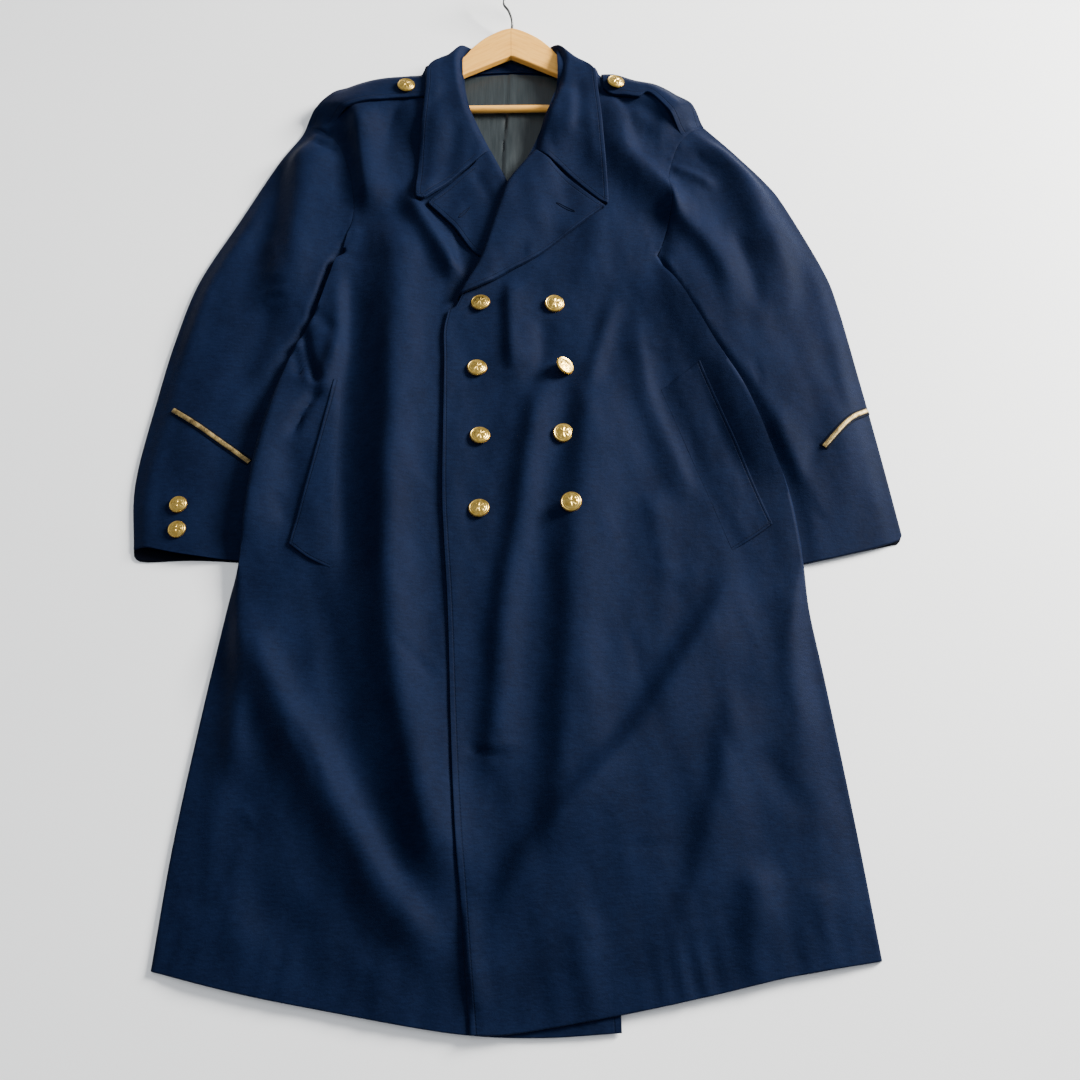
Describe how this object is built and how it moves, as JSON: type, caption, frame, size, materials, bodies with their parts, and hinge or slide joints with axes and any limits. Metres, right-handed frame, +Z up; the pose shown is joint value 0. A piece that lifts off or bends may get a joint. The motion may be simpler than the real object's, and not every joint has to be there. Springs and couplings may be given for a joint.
{
  "type": "military-style coat on a wooden hanger",
  "caption": "Long double-breasted navy wool coat with gilt buttons, shoulder straps and cuff braid, laid flat face up over a wooden hanger.",
  "frame": {"origin": "on the floor under the middle of the back panel, at waist height of the coat", "axes": "+Z up from the floor, +Y from the hem towards the collar, +X to the right as seen from above with the collar at the top"},
  "size_m": [0.8538, 1.3365, 0.0448],
  "materials": {
    "wool": "navy wool serge, fine twill, soft sheen",
    "satin": "dark olive-grey satin lining",
    "gilt": "polished gilt metal",
    "braid": "woven gold braid, slightly tarnished",
    "maple": "pale varnished wood",
    "steel": "plated steel wire"
  },
  "bodies": {
    "root": {"back": "wool", "under_front": "wool", "over_front": "wool", "top_sleeve_left": "wool", "top_sleeve_right": "wool", "under_sleeve_left": "wool", "under_sleeve_right": "wool", "collar_back": "wool", "neck_band": "wool", "lining": "satin", "collar_leaf_left": "wool", "collar_leaf_right": "wool", "lapel_left": "wool", "lapel_right": "wool", "epaulette_left": "wool", "epaulette_right": "wool", "pocket_welt_left": "wool", "pocket_welt_right": "wool", "braid_left": "braid", "braid_right": "braid", "front_button_1": "gilt", "front_button_2": "gilt", "front_button_3": "gilt", "front_button_4": "gilt", "front_button_5": "gilt", "front_button_6": "gilt", "front_button_7": "gilt", "front_button_8": "gilt", "cuff_button_1": "gilt", "cuff_button_2": "gilt", "strap_button_left": "gilt", "strap_button_right": "gilt", "hanger": "maple", "hanger_bar": "maple", "hanger_hook": "steel"}
  },
  "joints": []
}
